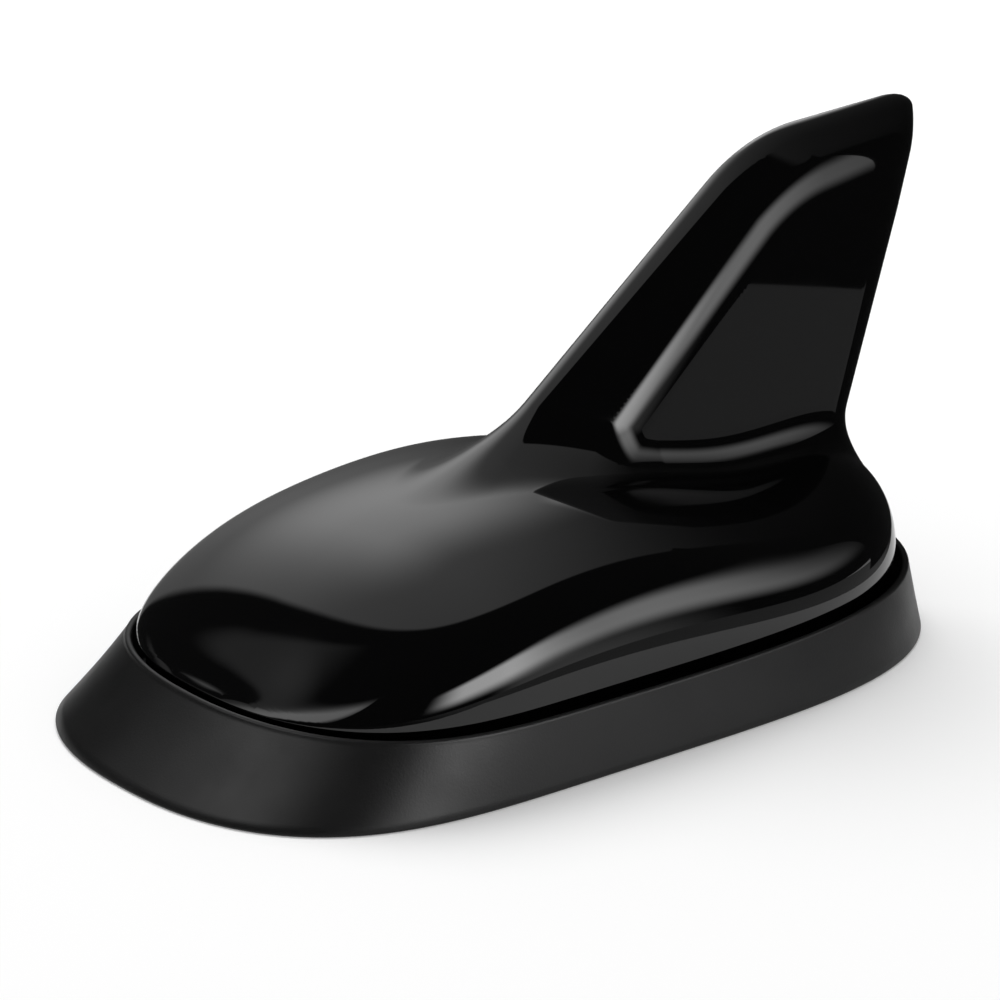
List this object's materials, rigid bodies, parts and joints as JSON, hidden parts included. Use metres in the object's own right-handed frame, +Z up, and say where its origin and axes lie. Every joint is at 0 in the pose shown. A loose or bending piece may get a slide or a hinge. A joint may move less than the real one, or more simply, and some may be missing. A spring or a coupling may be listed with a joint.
{
  "type": "shark fin aerial",
  "caption": "Low car roof aerial: glossy streamlined dome with a raked, recessed fin, in a flared rubber skirt on a flat stick-down underside.",
  "frame": {"origin": "on the roof face, at the middle of the skirt's footprint", "axes": "+X from the nose to the tail, +Y to the part's right seen from the tail, +Z up from the roof"},
  "size_m": [0.1706, 0.091, 0.0873],
  "materials": {
    "cover": "polished, clear coated",
    "skirt": "matte",
    "base_plate": "matte",
    "adhesive_pad": "matte foam",
    "cover_seal": "matte",
    "screws": "zinc plated",
    "boards": "satin lacquer",
    "tinned_steel": "satin tin",
    "chip": "matte",
    "capacitors": "satin",
    "copper": "satin copper",
    "filter_block": "satin",
    "foam_pads": "matte foam",
    "lead_socket": "satin",
    "lead_grommet": "matte"
  },
  "bodies": {
    "root": {"cover": "cover", "skirt": "skirt", "base_plate": "base_plate", "adhesive_pad": "adhesive_pad", "cover_seal": "cover_seal", "cover_screws": "screws", "main_board": "boards", "board_screws": "screws", "screening_can": "tinned_steel", "amplifier_chip": "chip", "chip_capacitors": "capacitors", "matching_coil": "copper", "filter_block": "filter_block", "fin_board": "boards", "radiator_trace": "copper", "board_clips": "tinned_steel", "loading_coil": "copper", "foam_pads": "foam_pads", "lead_socket": "lead_socket", "lead_grommet": "lead_grommet"}
  },
  "joints": []
}
